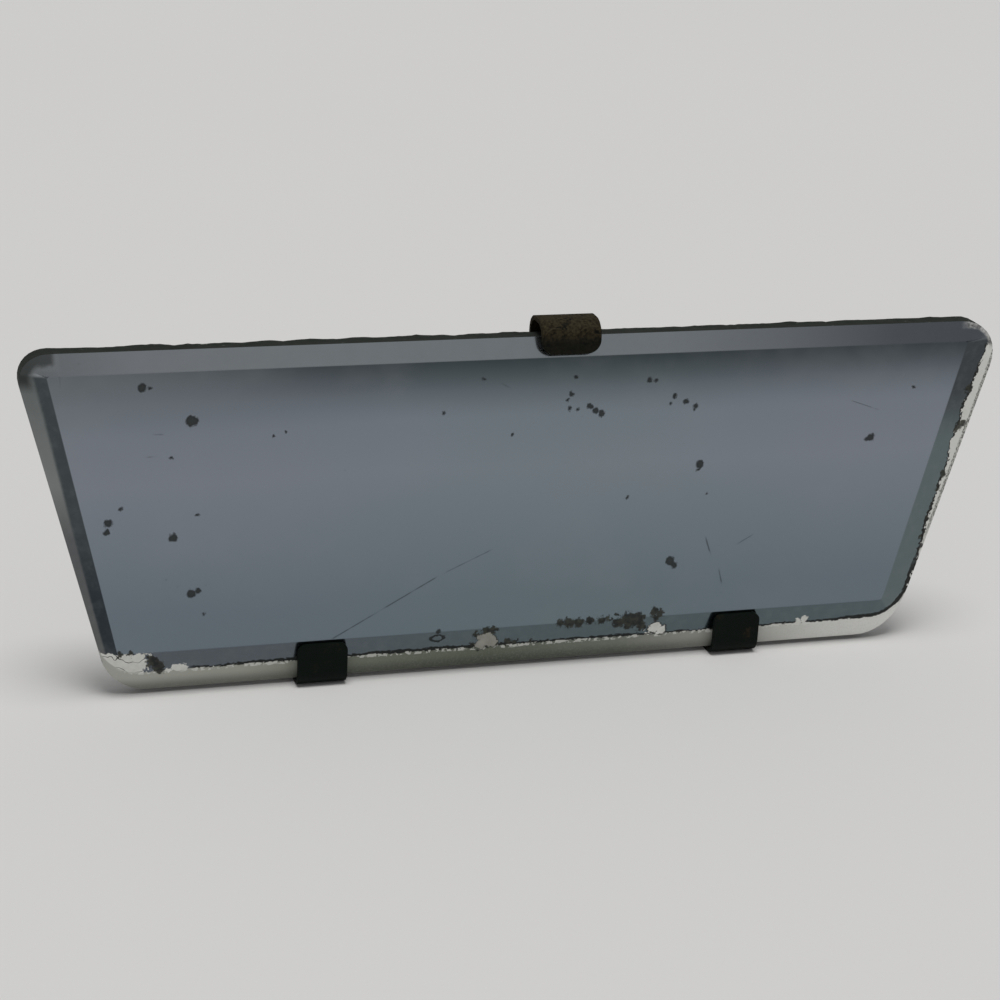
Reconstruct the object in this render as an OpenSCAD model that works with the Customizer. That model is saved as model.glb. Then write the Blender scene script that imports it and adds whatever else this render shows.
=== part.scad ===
// Interior rearview mirror: a frameless bevelled glass held by three folded
// clips on a pressed back plate, with a clamped ball socket, a ball stud and
// a low foot bracket that screws down on a flat panel.
// Origin: centre of the foot's underside. X runs along the mirror, the glass
// faces -Y and Z points up. Millimetres.

/* [Glass] */
// Width of the glass along its top edge, corners taken sharp
glass_top_w = 202; // [196:1:215]
// Width of the glass along its lower edge, corners taken sharp
glass_low_w = 166.5; // [166:0.5:190]
// Height of the glass
glass_h = 69.6; // [66:0.2:80]
// Thickness of the glass in its middle
glass_t = 5.5; // [4:0.5:7]
// Thickness left at the rim, outside the bevel
rim_t = 3.8; // [3.4:0.1:4.5]
// Height of the clear strip below the silvering
clear_h = 4.3; // [2:0.1:6]
// Thickness of the clear strip at its lowest edge
clear_t = 3.2; // [2.5:0.1:3.4]
// Width of the flat face inside the hand-ground bevel, along its top edge
face_top_w = 186.5; // [178:0.5:190]
// Width of the flat face along its lower edge
face_low_w = 161.5; // [150:0.5:162]
// Height of the flat face
face_h = 57; // [50:0.2:58]
// Corner radius of the flat face at the left end
face_left_r = 1.2; // [0.5:0.1:5]
// Corner radius of the flat face at the right end
face_right_r = 3; // [0.5:0.1:6]
// How far the flat face sits to the right of the rim's centre
face_x = -1.4; // [-2:0.1:2]
// How far the flat face sits above the rim's centre
face_z = 2.5; // [0:0.1:3]
// Radius of the upper left corner
left_corner_r = 5.5; // [4:0.5:9]
// Radius of the upper right corner
right_corner_r = 8; // [4:0.5:12]
// Radius of the lower left corner
low_left_r = 9; // [4:0.5:12]
// Radius of the lower right corner
low_right_r = 10; // [4:0.5:12]
// How far the glass has crept sideways in its clips
glass_slip = -2.2; // [-4:0.1:4]

/* [Back plate] */
// How far the back plate stays inside the outline of the glass
plate_inset = 9; // [8:0.5:14]
// Sheet thickness of the back plate
plate_t = 0.9; // [0.8:0.1:1.5]
// Thickness of the felt between glass and plate
felt_t = 0.8; // [0.8:0.1:1.5]
// Corner radius of the plate and the felt
plate_corner_r = 8; // [5:1:14]

/* [Clips] */
// Sheet thickness of the clips
clip_t = 0.9; // [0.7:0.1:1.2]
// Width of the two lower clips
low_clip_w = 10; // [8:0.5:12]
// Distance of each lower clip from the centre line
low_clip_x = 44; // [38:1:50]
// Width of the upper clip
top_clip_w = 12; // [10:0.5:15]
// Sideways place of the upper clip
top_clip_x = 3.7; // [-6:0.1:6]
// How far the upper clip rises above the glass
top_clip_rise = 3.3; // [1.4:0.1:4]
// Height of the lower clips' lips above their bend
low_lip_h = 6.2; // [4:0.1:7]
// Height of the upper clip's lip below its bend
top_lip_h = 2.8; // [2.7:0.1:6]

/* [Ball joint] */
// Diameter of the ball
ball_d = 14; // [12:1:16]
// Wall of the fibre liner round the ball
liner_t = 0.94; // [0.8:0.02:1.2]
// Distance from the ball's centre to the back plate
socket_depth = 13.2; // [13:0.1:16]
// Diameter of the neck behind the ball
neck_d = 6.4; // [5:0.2:6.6]
// Distance from the ball's centre to the foot bracket
stud_reach = 17; // [16.5:0.5:24]
// Thread diameter of the stud
thread_d = 6; // [5:1:6]

/* [Foot] */
// Width of the foot
foot_w = 50; // [44:1:60]
// Depth of the foot
foot_l = 26; // [22:1:32]
// Thickness of the foot and of its upright
foot_t = 3; // [2.5:0.5:4]
// Distance between the two screw holes
hole_spacing = 36; // [32:1:44]
// Diameter of the screw holes
hole_d = 5.2; // [4.2:0.1:5.6]
// Thickness of the rubber under the foot
rubber_t = 1.6; // [1:0.1:3]

/* [Hidden] */
$fn = 64;

// Running fits, small gaps and the overshoot of the cutting tools
fit = 0.05;
hair = 0.02;
cut = 1;
arc_steps = 9;

// Heights: the lower clips and the rubber share the plane z = 0, and the
// glass stands just clear of the clips
seat_gap = 0.15;
glass_z = glass_h / 2 + clip_t + seat_gap;

// Places along Y, from the foot forwards to the glass
upright_y = -foot_l / 2;
ball_y = upright_y - stud_reach;
plate_back_y = ball_y - socket_depth;
plate_front_y = plate_back_y - plate_t;
glass_back_y = plate_front_y - felt_t;
glass_front_y = glass_back_y - glass_t;

// Radii of the ball joint
ball_r = ball_d / 2;
liner_in_r = ball_r + fit;
liner_out_r = liner_in_r + liner_t;
seat_r = liner_out_r + fit;
neck_r = neck_d / 2;
thread_r = thread_d / 2;
mouth_angle = 56;
liner_rear_angle = 53;
liner_front_angle = 40;

// Socket pressings
sheet = 1.2;
cup_gap = 1.3;
cup_wall = 1.1;
flange_w = 6;
cover_step = 0.2;
dome_t = 1.3;
screw_offset = 3;
rivet_offset = 3.2;
cup_in_r = seat_r + cup_gap;
cup_out_r = cup_in_r + cup_wall;
flange_r = cup_out_r + flange_w;
cover_r = flange_r - cover_step;
dome_r = seat_r + dome_t;
split_s = -sheet;
screw_circle_r = cup_out_r + screw_offset;
rivet_circle_r = cup_out_r + rivet_offset;
screw_r = 1.5;
screw_hole_r = 1.6;
screw_angles = [90, 210, 330];
rivet_angles = [45, 135, 225, 315];

// Pressure cup and springs
cup_floor = 1.6;
cup_play = 0.15;
cup_front_s = -seat_r - cup_floor;
cup_rear_s = -4;
spring_t = 0.6;
spring_play = 0.4;
spring_out_r = cup_in_r - spring_play;
spring_in_r = 4.2;
spring_gap = socket_depth + cup_front_s;

// The felt stops short of the plate's edge
felt_margin = 1;
felt_inset = plate_inset + felt_margin;
felt_corner_r = plate_corner_r - felt_margin;

// Stiffening beads of the plate
bead_r = 2;
bead_sink = 0.8;
bead_z = 9;
bead_l = 32;
bead_x = 48;

// Screws of the socket, with their nuts and split washers
screw_head_r = 2.7;
screw_head_h = 1.9;
screw_head_taper = 0.5;
slot_w = 0.8;
slot_d = 0.9;
lock_washer_r = 2.6;
lock_washer_t = 0.7;
slit_w = 0.5;
cover_nut_t = 2.2;
cover_nut_af = 5.5;
screw_spare = 0.8;
screw_len = 2 * sheet + cover_nut_t + screw_spare;
flat_turn = 30;
nut_chamfer = 0.15;
nut_top = 1.02;

// Rivets
rivet_r = 1.5;
rivet_head_r = 2.3;
rivet_head_h = 1;
rivet_tail_h = 0.5;
tail_hole_r = 2.45;
rivet_margin = 3.6;
low_rivet_z = glass_z - glass_h / 2 + plate_inset + rivet_margin;
top_rivet_z = glass_z + glass_h / 2 - plate_inset - rivet_margin;
rivet_dome_r = (rivet_head_r * rivet_head_r + rivet_head_h * rivet_head_h) / (2 * rivet_head_h);

// Bends of the clips and the corners of their lips
low_bend_r = 2.2;
top_bend_r = 2.6;
low_lip_r = 1.6;
top_lip_r = 2.6;

// Stud, with its washers and nut
collar_r = 6.5;
collar_t = 4;
collar_cone = 1.5;
neck_root = 1.2;
tip_l = 1;
tip_taper = 0.8;
washer_r = 6;
washer_t = 1;
washer_gap = 0.2;
lock_r = 5.2;
lock_t = 1.4;
nut_t = 5;
nut_af = 10;
stud_spare = 1.5;
stud_end = stud_reach + foot_t + washer_t + lock_t + nut_t + stud_spare;

// Foot
foot_corner_r = 7;
foot_head_r = 10;
foot_root_w = 30;
rib_t = 2.4;
rib_h = 16;
rib_x = 8.6;
rib_end = 5;

// Trapezoids as [top width, lower width, height]
rim_form = [glass_top_w, glass_low_w, glass_h];
face_form = [face_top_w, face_low_w, face_h];
half_h = glass_h / 2;
silver_form = [
    glass_top_w,
    glass_low_w + 2 * clear_h * tan(lean_of(rim_form)),
    glass_h - clear_h
];

// Outline of a trapezoid pulled in by "inset"; "radii" are those of its upper
// left, upper right, lower right and lower left corners
function lean_of(form) = atan((form[0] - form[1]) / 2 / form[2]);

function half_width(form, z, inset) =
    (form[0] + form[1]) / 4 + z * tan(lean_of(form)) - inset / cos(lean_of(form));

function corner_arc(form, side, up, inset, r) =
    let (
        lean = lean_of(form),
        z = up * (form[2] / 2 - inset - r),
        x = side * half_width(form, z, inset + r),
        first = up > 0
            ? (side > 0 ? -lean : 90)
            : (side > 0 ? 270 : 180 + lean),
        last = up > 0
            ? (side > 0 ? 90 : 180 + lean)
            : (side > 0 ? 360 - lean : 270)
    )
    [for (i = [0 : arc_steps])
        let (a = first + (last - first) * i / arc_steps)
        [x + r * cos(a), z + r * sin(a)]];

module outline(form, inset, radii) {
    polygon(concat(
        corner_arc(form, 1, 1, inset, radii[1]),
        corner_arc(form, -1, 1, inset, radii[0]),
        corner_arc(form, -1, -1, inset, radii[3]),
        corner_arc(form, 1, -1, inset, radii[2])
    ));
}

// Stands an outline up in the XZ plane, from y to y + t
module upright_slab(y, t) {
    translate([0, y + t, glass_z])
        rotate([90, 0, 0])
            linear_extrude(t)
                children();
}

// Extrudes a profile drawn as (y, z) along X, centred on x
module strip(x, w) {
    translate([x - w / 2, 0, 0])
        rotate([90, 0, 90])
            linear_extrude(w)
                children();
}

// A quarter of a bent sheet round (y, z); qy and qz say which quarter
module bend(y, z, r, t, qy, qz) {
    translate([y, z])
        intersection() {
            difference() {
                circle(r + t);
                circle(r);
            }
            translate([qy > 0 ? 0 : -2 * r - 2 * t, qz > 0 ? 0 : -2 * r - 2 * t])
                square(2 * r + 2 * t);
        }
}

// Puts things drawn along +Z onto the stud's axis, +Z pointing backwards
module on_ball_axis() {
    translate([0, ball_y, glass_z])
        rotate([-90, 0, 0])
            children();
}

module mirror_glass() {
    color([0.42, 0.46, 0.48])
        translate([glass_slip, 0, 0])
            hull() {
                upright_slab(glass_back_y - clear_t, clear_t)
                    outline(rim_form, 0, [left_corner_r, right_corner_r, low_right_r, low_left_r]);
                translate([0, 0, clear_h / 2])
                    upright_slab(glass_back_y - rim_t, rim_t)
                        outline(silver_form, 0, [left_corner_r, right_corner_r, right_corner_r, left_corner_r]);
                translate([face_x, 0, face_z])
                    upright_slab(glass_front_y, glass_t)
                        outline(face_form, 0, [face_left_r, face_right_r, face_right_r, face_left_r]);
            }
}

module backing_felt() {
    color([0.18, 0.17, 0.15])
        difference() {
            upright_slab(glass_back_y, felt_t)
                outline(rim_form, felt_inset, felt_corner_r * [1, 1, 1, 1]);
            each_clip_rivet()
                translate([0, glass_back_y - cut, 0])
                    rotate([-90, 0, 0])
                        cylinder(h = felt_t + 2 * cut, r = tail_hole_r);
            each_socket_rivet()
                translate([0, 0, -socket_depth - plate_t - felt_t - cut])
                    cylinder(h = felt_t + 2 * cut, r = tail_hole_r);
        }
}

// Low pressed bead along the plate's back, with round ends
module bead(x, z, length, r) {
    axis_y = plate_back_y - bead_sink;
    translate([x, axis_y, glass_z + z])
        rotate([0, 90, 0])
            cylinder(h = length, r = r, center = true);
    for (side = [-1, 1])
        translate([x + side * length / 2, axis_y, glass_z + z])
            sphere(r);
}

module back_plate() {
    color([0.16, 0.17, 0.16])
        difference() {
            union() {
                upright_slab(plate_front_y, plate_t)
                    outline(rim_form, plate_inset, plate_corner_r * [1, 1, 1, 1]);
                intersection() {
                    for (side = [-1, 1])
                        for (row = [-1, 1])
                            bead(side * bead_x, row * bead_z, bead_l, bead_r);
                    translate([-glass_top_w, plate_back_y - plate_t / 2, 0])
                        cube([2 * glass_top_w, 2 * bead_r, 2 * glass_z]);
                }
            }
            each_clip_rivet()
                translate([0, plate_front_y - cut, 0])
                    rotate([-90, 0, 0])
                        cylinder(h = plate_t + 2 * cut, r = rivet_r);
            each_socket_rivet()
                translate([0, 0, -socket_depth - plate_t - cut])
                    cylinder(h = plate_t + 2 * cut, r = rivet_r);
        }
}

// Two rivets on the tail of each clip
module each_clip_rivet() {
    for (side = [-1, 1])
        for (i = [-1, 1])
            translate([side * low_clip_x + i * low_clip_w / 4, 0, low_rivet_z])
                children();
    for (i = [-1, 1])
        translate([top_clip_x + i * top_clip_w / 4, 0, top_rivet_z])
            children();
}

module each_socket_rivet() {
    on_ball_axis()
        for (a = rivet_angles)
            rotate(a)
                translate([rivet_circle_r, 0, 0])
                    children();
}

module each_cover_screw() {
    on_ball_axis()
        for (a = screw_angles)
            rotate(a)
                translate([screw_circle_r, 0, 0])
                    children();
}

// Lip of a clip, rounded at its free corners; "up" tells which way it points
module lip(x, w, h, z_fold, up, corner) {
    translate([x, glass_front_y - hair, z_fold])
        rotate([90, 0, 0])
            linear_extrude(clip_t)
                union() {
                    for (side = [-1, 1])
                        translate([side * (w / 2 - corner), up * (h - corner)])
                            circle(corner);
                    translate([-w / 2, up > 0 ? 0 : corner - h])
                        square([w, h - corner]);
                    translate([corner - w / 2, up > 0 ? 0 : -h])
                        square([w - 2 * corner, h]);
                }
}

// Folded strip that runs down the plate, under the glass and up its front
module lower_clip(x) {
    front = glass_front_y - hair;
    mid = clip_t + low_bend_r;
    difference() {
        union() {
            strip(x, low_clip_w) {
                translate([plate_back_y, mid])
                    square([clip_t, low_rivet_z + rivet_margin - mid]);
                bend(plate_back_y - low_bend_r, mid, low_bend_r, clip_t, 1, -1);
                translate([front + low_bend_r, 0])
                    square([plate_back_y - front - 2 * low_bend_r, clip_t]);
                bend(front + low_bend_r, mid, low_bend_r, clip_t, -1, -1);
            }
            lip(x, low_clip_w, low_lip_h, mid, 1, low_lip_r);
        }
        for (i = [-1, 1])
            translate([x + i * low_clip_w / 4, plate_back_y - cut, low_rivet_z])
                rotate([-90, 0, 0])
                    cylinder(h = clip_t + 2 * cut, r = rivet_r);
    }
}

module lower_clip_left() {
    color([0.05, 0.07, 0.06])
        lower_clip(-low_clip_x);
}

module lower_clip_right() {
    color([0.05, 0.07, 0.06])
        lower_clip(low_clip_x);
}

// Sprung hook over the top edge, rolled wide in front
module top_clip() {
    roof_z = glass_z + half_h + top_clip_rise;
    front = glass_front_y - hair;
    mid = roof_z - clip_t - top_bend_r;
    color([0.22, 0.15, 0.10])
        difference() {
            union() {
                strip(top_clip_x, top_clip_w) {
                    translate([plate_back_y, top_rivet_z - rivet_margin])
                        square([clip_t, mid - top_rivet_z + rivet_margin]);
                    bend(plate_back_y - top_bend_r, mid, top_bend_r, clip_t, 1, 1);
                    translate([front + top_bend_r, roof_z - clip_t])
                        square([plate_back_y - front - 2 * top_bend_r, clip_t]);
                    bend(front + top_bend_r, mid, top_bend_r, clip_t, -1, 1);
                }
                lip(top_clip_x, top_clip_w, top_lip_h, mid, -1, top_lip_r);
            }
            for (i = [-1, 1])
                translate([top_clip_x + i * top_clip_w / 4, plate_back_y - cut, top_rivet_z])
                    rotate([-90, 0, 0])
                        cylinder(h = clip_t + 2 * cut, r = rivet_r);
        }
}

// Rivet along +Z: flat tail, shank of the given grip and a domed head
module rivet(grip) {
    translate([0, 0, -rivet_tail_h])
        cylinder(h = rivet_tail_h, r = rivet_head_r);
    cylinder(h = grip, r = rivet_r);
    translate([0, 0, grip])
        intersection() {
            cylinder(h = rivet_head_h, r = rivet_head_r);
            translate([0, 0, rivet_head_h - rivet_dome_r])
                sphere(rivet_dome_r);
        }
}

module clip_rivets() {
    color([0.45, 0.43, 0.40])
        each_clip_rivet()
            translate([0, plate_front_y, 0])
                rotate([-90, 0, 0])
                    rivet(plate_t + clip_t);
}

module socket_rivets() {
    color([0.45, 0.43, 0.40])
        each_socket_rivet()
            translate([0, 0, -socket_depth - plate_t])
                rivet(plate_t + sheet);
}

// Flanged cup riveted to the plate; its rear flange takes the cover
module socket_base() {
    color([0.30, 0.30, 0.29])
        difference() {
            on_ball_axis() {
                difference() {
                    union() {
                        translate([0, 0, -socket_depth])
                            cylinder(h = sheet, r = flange_r);
                        translate([0, 0, -socket_depth])
                            cylinder(h = socket_depth + split_s, r = cup_out_r);
                        translate([0, 0, split_s - sheet])
                            cylinder(h = sheet, r = cover_r);
                    }
                    translate([0, 0, -socket_depth - cut])
                        cylinder(h = socket_depth + 2 * cut, r = cup_in_r);
                }
            }
            each_socket_rivet()
                translate([0, 0, -socket_depth - cut])
                    cylinder(h = sheet + 2 * cut, r = rivet_r);
            each_cover_screw()
                translate([0, 0, split_s - sheet - cut])
                    cylinder(h = sheet + 2 * cut, r = screw_hole_r);
        }
}

// Domed ring that keeps the ball in the cup
module socket_cover() {
    color([0.30, 0.30, 0.29])
        difference() {
            on_ball_axis()
                difference() {
                    union() {
                        translate([0, 0, split_s])
                            cylinder(h = sheet, r = cover_r);
                        intersection() {
                            sphere(dome_r);
                            translate([0, 0, split_s])
                                cylinder(h = dome_r * cos(mouth_angle) - split_s, r = dome_r);
                        }
                    }
                    sphere(seat_r);
                    cylinder(h = 2 * dome_r, r1 = 0, r2 = 2 * dome_r * tan(mouth_angle));
                    translate([0, 0, split_s - cut])
                        cylinder(h = cut - split_s, r = seat_r);
                }
            each_cover_screw()
                translate([0, 0, split_s - cut])
                    cylinder(h = sheet + 2 * cut, r = screw_hole_r);
        }
}

// Two dished washers nested back to back
module disc_springs() {
    dish = (spring_gap - 2 * spring_t) / 2;
    color([0.35, 0.36, 0.38])
        on_ball_axis()
            for (i = [0, 1])
                translate([0, 0, -socket_depth + (i == 0 ? 0 : spring_gap)])
                    mirror([0, 0, i])
                        rotate_extrude()
                            polygon([
                                [spring_in_r, 0],
                                [spring_out_r, dish],
                                [spring_out_r, dish + spring_t],
                                [spring_in_r, spring_t]
                            ]);
}

module pressure_cup() {
    color([0.52, 0.44, 0.24])
        on_ball_axis()
            difference() {
                translate([0, 0, cup_front_s])
                    cylinder(h = cup_rear_s - cup_front_s, r = cup_in_r - cup_play);
                sphere(seat_r);
            }
}

// Thin fibre shell, open in front and behind
module ball_liner() {
    front_s = -liner_out_r * cos(liner_front_angle);
    color([0.38, 0.24, 0.14])
        on_ball_axis()
            difference() {
                intersection() {
                    sphere(liner_out_r);
                    translate([0, 0, front_s])
                        cylinder(h = 2 * liner_out_r, r = liner_out_r + cut);
                }
                sphere(liner_in_r);
                cylinder(h = 2 * ball_r, r1 = 0, r2 = 2 * ball_r * tan(liner_rear_angle));
            }
}

module cover_screws() {
    color([0.50, 0.49, 0.46])
        each_cover_screw()
            difference() {
                union() {
                    translate([0, 0, lock_washer_t])
                        cylinder(h = screw_head_h, r1 = screw_head_r, r2 = screw_head_r - screw_head_taper);
                    translate([0, 0, -screw_len])
                        cylinder(h = screw_len + lock_washer_t, r = screw_r);
                }
                translate([-screw_head_r, -slot_w / 2, lock_washer_t + screw_head_h - slot_d])
                    cube([2 * screw_head_r, slot_w, slot_d + cut]);
            }
}

module cover_lock_washers() {
    color([0.40, 0.40, 0.40])
        each_cover_screw()
            split_washer(screw_hole_r, lock_washer_r, lock_washer_t);
}

module cover_nuts() {
    color([0.50, 0.49, 0.46])
        each_cover_screw()
            translate([0, 0, -2 * sheet - cover_nut_t])
                rotate(flat_turn)
                    hex_nut(cover_nut_af, screw_r + hair, cover_nut_t);
}

module hex_nut(across_flats, bore_r, h) {
    difference() {
        intersection() {
            cylinder(h = h, r = across_flats / 2 / cos(30), $fn = 6);
            translate([0, 0, -h * nut_chamfer])
                cylinder(h = h * (1 + nut_chamfer), r1 = across_flats, r2 = across_flats / 2 * nut_top);
        }
        translate([0, 0, -cut])
            cylinder(h = h + 2 * cut, r = bore_r);
    }
}

module split_washer(in_r, out_r, h) {
    difference() {
        cylinder(h = h, r = out_r);
        translate([0, 0, -cut])
            cylinder(h = h + 2 * cut, r = in_r);
        translate([0, -slit_w / 2, -cut])
            cube([out_r + cut, slit_w, h + 2 * cut]);
    }
}

// Ball, neck, collar and threaded end in one turned piece
module ball_stud() {
    color([0.62, 0.61, 0.58])
        on_ball_axis() {
            sphere(ball_r);
            translate([0, 0, ball_r - neck_root])
                cylinder(h = stud_reach - ball_r, r = neck_r);
            translate([0, 0, stud_reach - collar_t - collar_cone])
                cylinder(h = collar_cone, r1 = neck_r, r2 = collar_r);
            translate([0, 0, stud_reach - collar_t])
                cylinder(h = collar_t - hair, r = collar_r);
            translate([0, 0, stud_reach - tip_l])
                cylinder(h = stud_end - stud_reach, r = thread_r);
            translate([0, 0, stud_end - tip_l])
                cylinder(h = tip_l, r1 = thread_r, r2 = thread_r - tip_taper);
        }
}

// Cast foot: base, upright with a round head, and two ribs behind it
module foot_bracket() {
    color([0.33, 0.33, 0.32])
        difference() {
            union() {
                translate([0, 0, rubber_t])
                    foot_plan(foot_t);
                translate([0, upright_y + foot_t, 0])
                    rotate([90, 0, 0])
                        linear_extrude(foot_t)
                            union() {
                                translate([0, glass_z])
                                    circle(foot_head_r);
                                polygon([
                                    [-foot_root_w / 2, rubber_t],
                                    [foot_root_w / 2, rubber_t],
                                    [foot_root_w / 2, rubber_t + foot_t],
                                    [foot_head_r, glass_z],
                                    [-foot_head_r, glass_z],
                                    [-foot_root_w / 2, rubber_t + foot_t]
                                ]);
                            }
                for (side = [-1, 1])
                    strip(side * rib_x, rib_t)
                        polygon([
                            [upright_y + foot_t, rubber_t + foot_t],
                            [foot_l / 2 - rib_end, rubber_t + foot_t],
                            [upright_y + foot_t, rubber_t + foot_t + rib_h]
                        ]);
            }
            translate([0, upright_y - cut, glass_z])
                rotate([-90, 0, 0])
                    cylinder(h = foot_t + 2 * cut, r = thread_r + fit);
            each_foot_hole()
                cylinder(h = rubber_t + foot_t + 2 * cut, d = hole_d);
        }
}

module each_foot_hole() {
    for (side = [-1, 1])
        translate([side * hole_spacing / 2, 0, -cut])
            children();
}

// Plan of the foot: straight in front, round at its two rear corners
module foot_plan(t) {
    r = foot_corner_r;
    linear_extrude(t)
        union() {
            for (side = [-1, 1])
                translate([side * (foot_w / 2 - r), foot_l / 2 - r])
                    circle(r);
            translate([-foot_w / 2, -foot_l / 2])
                square([foot_w, foot_l - r]);
            translate([r - foot_w / 2, -foot_l / 2])
                square([foot_w - 2 * r, foot_l]);
        }
}

module foot_rubber() {
    color([0.08, 0.08, 0.08])
        difference() {
            foot_plan(rubber_t);
            each_foot_hole()
                cylinder(h = rubber_t + 2 * cut, d = hole_d);
        }
}

module stud_washer() {
    color([0.55, 0.54, 0.50])
        on_ball_axis()
            translate([0, 0, stud_reach + foot_t])
                difference() {
                    cylinder(h = washer_t, r = washer_r);
                    translate([0, 0, -cut])
                        cylinder(h = washer_t + 2 * cut, r = thread_r + washer_gap);
                }
}

module stud_lock_washer() {
    color([0.40, 0.40, 0.40])
        on_ball_axis()
            translate([0, 0, stud_reach + foot_t + washer_t])
                split_washer(thread_r + washer_gap, lock_r, lock_t);
}

module stud_nut() {
    color([0.55, 0.54, 0.50])
        on_ball_axis()
            translate([0, 0, stud_reach + foot_t + washer_t + lock_t])
                hex_nut(nut_af, thread_r + fit, nut_t);
}

mirror_glass();
backing_felt();
back_plate();
top_clip();
lower_clip_left();
lower_clip_right();
clip_rivets();
socket_base();
socket_rivets();
disc_springs();
pressure_cup();
ball_liner();
socket_cover();
cover_screws();
cover_lock_washers();
cover_nuts();
ball_stud();
foot_bracket();
stud_washer();
stud_lock_washer();
stud_nut();
foot_rubber();
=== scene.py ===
import math
import bpy
from mathutils import Matrix, Vector


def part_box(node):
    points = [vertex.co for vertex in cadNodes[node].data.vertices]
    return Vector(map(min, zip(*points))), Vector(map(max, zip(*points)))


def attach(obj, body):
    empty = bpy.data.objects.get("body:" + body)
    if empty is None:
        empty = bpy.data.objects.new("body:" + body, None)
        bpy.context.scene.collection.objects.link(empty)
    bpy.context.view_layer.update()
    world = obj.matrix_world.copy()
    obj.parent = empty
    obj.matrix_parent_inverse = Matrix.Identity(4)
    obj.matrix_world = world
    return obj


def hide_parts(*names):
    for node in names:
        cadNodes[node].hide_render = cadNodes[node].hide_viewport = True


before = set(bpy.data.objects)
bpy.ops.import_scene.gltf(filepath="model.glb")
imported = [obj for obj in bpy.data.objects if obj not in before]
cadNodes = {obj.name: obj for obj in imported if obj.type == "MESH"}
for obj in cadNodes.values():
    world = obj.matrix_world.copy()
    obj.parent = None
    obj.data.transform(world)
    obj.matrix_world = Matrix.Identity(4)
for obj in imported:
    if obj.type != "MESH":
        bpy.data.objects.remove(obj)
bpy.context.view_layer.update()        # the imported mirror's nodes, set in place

mm = 0.001
print("frame loaded:", len(cadNodes), "nodes")


# picking in edit mode

def dropSelection():
    if bpy.context.object and bpy.context.object.mode != "OBJECT":
        bpy.ops.object.mode_set(mode="OBJECT")
    bpy.ops.object.select_all(action="DESELECT")


def pick(obj, kind, test):
    # selects what passes the test: a vertex by its place, an edge by both its ends,
    # a face by its centre and normal
    bpy.ops.object.mode_set(mode="EDIT")
    bpy.ops.mesh.select_mode(type=kind)      # first, or the choice would spread to all that its corners share
    bpy.ops.object.mode_set(mode="OBJECT")
    mesh = obj.data
    for group in (mesh.vertices, mesh.edges, mesh.polygons):
        for item in group:
            item.select = False
    points = [v.co for v in mesh.vertices]
    if kind == "VERT":
        for v in mesh.vertices:
            v.select = test(v.co)
    elif kind == "EDGE":
        for e in mesh.edges:
            e.select = test(points[e.vertices[0]], points[e.vertices[1]])
    else:
        for f in mesh.polygons:
            f.select = test(f.center, f.normal)
    bpy.ops.object.mode_set(mode="EDIT")


# shader maths: a wire is a value socket that can be reckoned with

class Wire:
    def __init__(self, finish, socket):
        self.finish = finish
        self.socket = socket

    def maths(self, operation, *others):
        return self.finish.node("ShaderNodeMath", {"operation": operation},
                                dict(enumerate((self,) + others)))

    def __add__(self, other):
        return self.maths("ADD", other)

    def __radd__(self, other):
        return self.maths("ADD", other)

    def __sub__(self, other):
        return self.maths("SUBTRACT", other)

    def __rsub__(self, other):
        return self.finish.node("ShaderNodeMath", {"operation": "SUBTRACT"}, {0: other, 1: self})

    def __mul__(self, other):
        return self.maths("MULTIPLY", other)

    def __rmul__(self, other):
        return self.maths("MULTIPLY", other)

    def __truediv__(self, other):
        return self.maths("DIVIDE", other)

    def atLeast(self, other):
        return self.maths("MAXIMUM", other)

    def atMost(self, other):
        return self.maths("MINIMUM", other)

    def size(self):
        return self.maths("ABSOLUTE")

    def rise(self, low, high):
        # soft step: 0 up to low, 1 from high on; turned round when low is above high
        if low > high:
            return 1 - self.rise(high, low)
        return self.finish.node("ShaderNodeMapRange", {"interpolation_type": "SMOOTHSTEP"},
                                {"Value": self, "From Min": low, "From Max": high})


# a finish is one Principled material and the nodes in front of it

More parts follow.
